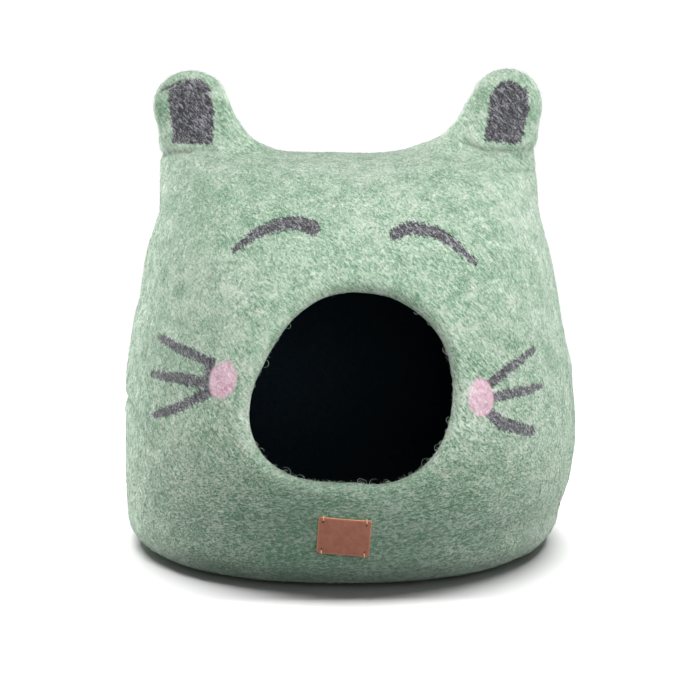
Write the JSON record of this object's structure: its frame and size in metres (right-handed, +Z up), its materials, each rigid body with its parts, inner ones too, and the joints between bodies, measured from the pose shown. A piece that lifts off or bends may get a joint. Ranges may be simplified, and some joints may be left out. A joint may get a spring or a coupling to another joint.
{
  "type": "felt cat cave",
  "caption": "Hollow wool felt cat bed with a round mouth in front, rounded ears at the top corners, a flat base and a small blank leather patch.",
  "frame": {"origin": "bottom centre of the bounding box, on the floor that the cave stands on", "axes": "+Z up, the mouth faces -Y, +X to the right as seen from in front of the mouth"},
  "size_m": [0.4507, 0.4175, 0.4685],
  "materials": {
    "wool_felt": "mottled sage green hand-felted wool, fuzzy and matte",
    "brown_leather": "brown grained leather with a paler cut edge",
    "sewing_thread": "pale orange waxed thread"
  },
  "bodies": {
    "root": {"felt_shell": "wool_felt", "leather_patch": "brown_leather"}
  },
  "joints": []
}
